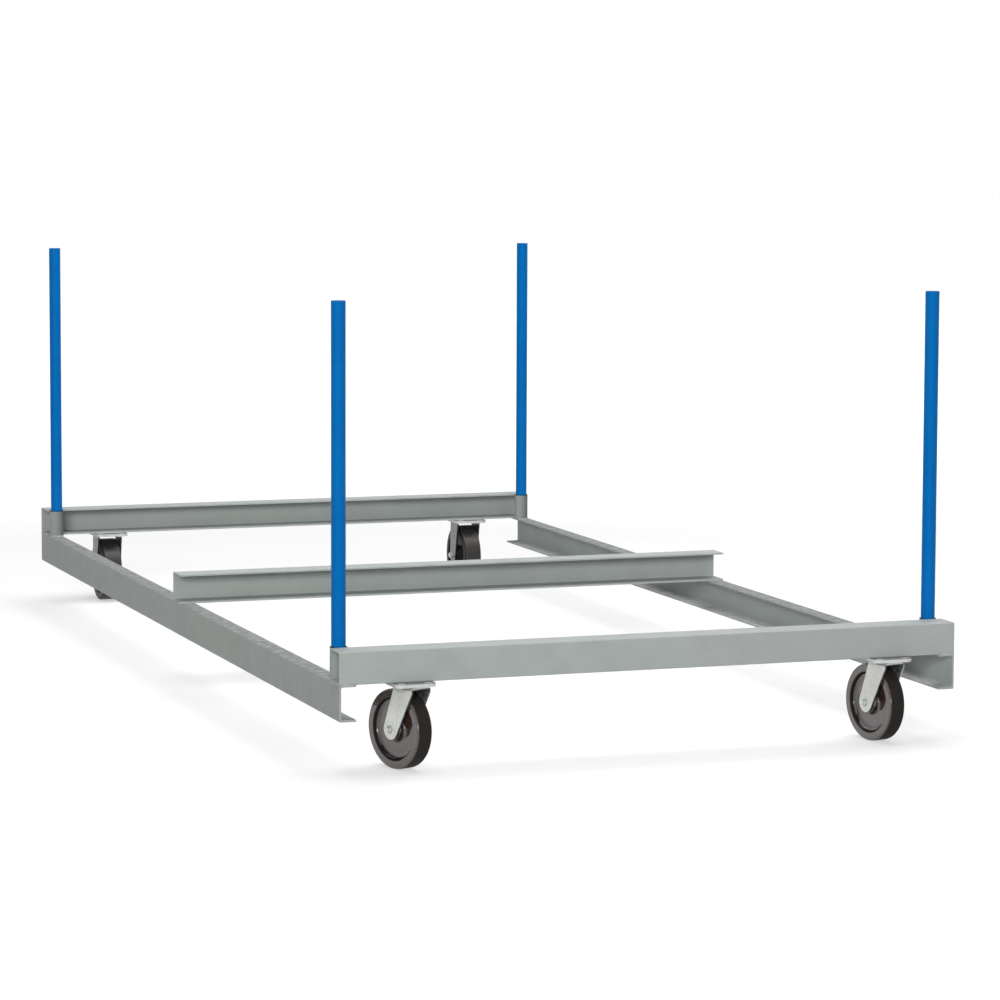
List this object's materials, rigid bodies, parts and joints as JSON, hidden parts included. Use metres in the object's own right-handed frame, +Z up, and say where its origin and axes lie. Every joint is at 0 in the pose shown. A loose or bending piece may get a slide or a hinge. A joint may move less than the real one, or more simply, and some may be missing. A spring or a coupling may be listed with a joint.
{
  "type": "bunk cart",
  "caption": "Low steel cart for bunks of board or lumber: channel rails on a rail frame, loose corner posts in sockets, swivel casters in front and rigid ones behind.",
  "frame": {"origin": "on the floor, under the middle of the deck. The bounding box's centre is 11 mm behind it, because the rear wheels stick out further than the front caster plates.", "axes": "+X to the right, +Y to the rear along the side rails, +Z up"},
  "size_m": [1.2192, 2.5179, 0.8504],
  "materials": {
    "frame_paint": "grey enamel, satin",
    "post_paint": "blue enamel, satin",
    "zinc": "bright zinc plate",
    "bare_steel": "bare, greased",
    "phenolic": "moulded, dark brown, glossy"
  },
  "bodies": {
    "frame": {"front_rail": "frame_paint", "middle_rail": "frame_paint", "rear_rail": "frame_paint", "left_side_rail": "frame_paint", "right_side_rail": "frame_paint", "front_left_socket": "frame_paint", "rear_left_socket": "frame_paint", "front_right_socket": "frame_paint", "rear_right_socket": "frame_paint", "front_left_caster_plate": "zinc", "front_left_kingpin": "zinc", "front_left_swivel_balls": "bare_steel", "rear_left_caster_plate": "zinc", "rear_left_left_leg": "zinc", "rear_left_right_leg": "zinc", "rear_left_axle_bolt": "zinc", "rear_left_axle_nut": "zinc", "rear_left_axle_sleeve": "bare_steel", "rear_left_thrust_washers": "bare_steel", "front_right_caster_plate": "zinc", "front_right_kingpin": "zinc", "front_right_swivel_balls": "bare_steel", "rear_right_caster_plate": "zinc", "rear_right_left_leg": "zinc", "rear_right_right_leg": "zinc", "rear_right_axle_bolt": "zinc", "rear_right_axle_nut": "zinc", "rear_right_axle_sleeve": "bare_steel", "rear_right_thrust_washers": "bare_steel"},
    "front_left_post": {"front_left_post": "post_paint"},
    "rear_left_post": {"rear_left_post": "post_paint"},
    "front_right_post": {"front_right_post": "post_paint"},
    "rear_right_post": {"rear_right_post": "post_paint"},
    "front_left_swivel": {"front_left_fork": "zinc", "front_left_axle_bolt": "zinc", "front_left_axle_nut": "zinc", "front_left_axle_sleeve": "bare_steel", "front_left_thrust_washers": "bare_steel"},
    "front_left_wheel_set": {"front_left_wheel": "phenolic", "front_left_roller_bearing": "bare_steel"},
    "rear_left_wheel_set": {"rear_left_wheel": "phenolic", "rear_left_roller_bearing": "bare_steel"},
    "front_right_swivel": {"front_right_fork": "zinc", "front_right_axle_bolt": "zinc", "front_right_axle_nut": "zinc", "front_right_axle_sleeve": "bare_steel", "front_right_thrust_washers": "bare_steel"},
    "front_right_wheel_set": {"front_right_wheel": "phenolic", "front_right_roller_bearing": "bare_steel"},
    "rear_right_wheel_set": {"rear_right_wheel": "phenolic", "rear_right_roller_bearing": "bare_steel"}
  },
  "joints": [
    {"name": "front_left_post_lift", "type": "slide", "parent": "frame", "child": "front_left_post", "axis": [0, 0, 1], "range_m": [0, 0.07]},
    {"name": "rear_left_post_lift", "type": "slide", "parent": "frame", "child": "rear_left_post", "axis": [0, 0, 1], "range_m": [0, 0.07]},
    {"name": "front_right_post_lift", "type": "slide", "parent": "frame", "child": "front_right_post", "axis": [0, 0, 1], "range_m": [0, 0.07]},
    {"name": "rear_right_post_lift", "type": "slide", "parent": "frame", "child": "rear_right_post", "axis": [0, 0, 1], "range_m": [0, 0.07]},
    {"name": "front_left_swivel", "type": "hinge", "parent": "frame", "child": "front_left_swivel", "pos_m": [-0.4726, -1.19063, 0.16456], "axis": [0, 0, 1], "continuous": true},
    {"name": "front_left_wheel_spin", "type": "hinge", "parent": "front_left_swivel", "child": "front_left_wheel_set", "pos_m": [-0.47991, -1.17137, 0.0735], "axis": [0.9348, 0.3551, 0], "continuous": true},
    {"name": "rear_left_wheel_spin", "type": "hinge", "parent": "frame", "child": "rear_left_wheel_set", "pos_m": [-0.4556, 1.19663, 0.0735], "axis": [1, 0, 0], "continuous": true},
    {"name": "front_right_swivel", "type": "hinge", "parent": "frame", "child": "front_right_swivel", "pos_m": [0.4726, -1.19063, 0.16456], "axis": [0, 0, 1], "continuous": true},
    {"name": "front_right_wheel_spin", "type": "hinge", "parent": "front_right_swivel", "child": "front_right_wheel_set", "pos_m": [0.4687, -1.1704, 0.0735], "axis": [0.982, 0.1891, 0], "continuous": true},
    {"name": "rear_right_wheel_spin", "type": "hinge", "parent": "frame", "child": "rear_right_wheel_set", "pos_m": [0.4556, 1.19663, 0.0735], "axis": [1, 0, 0], "continuous": true}
  ]
}
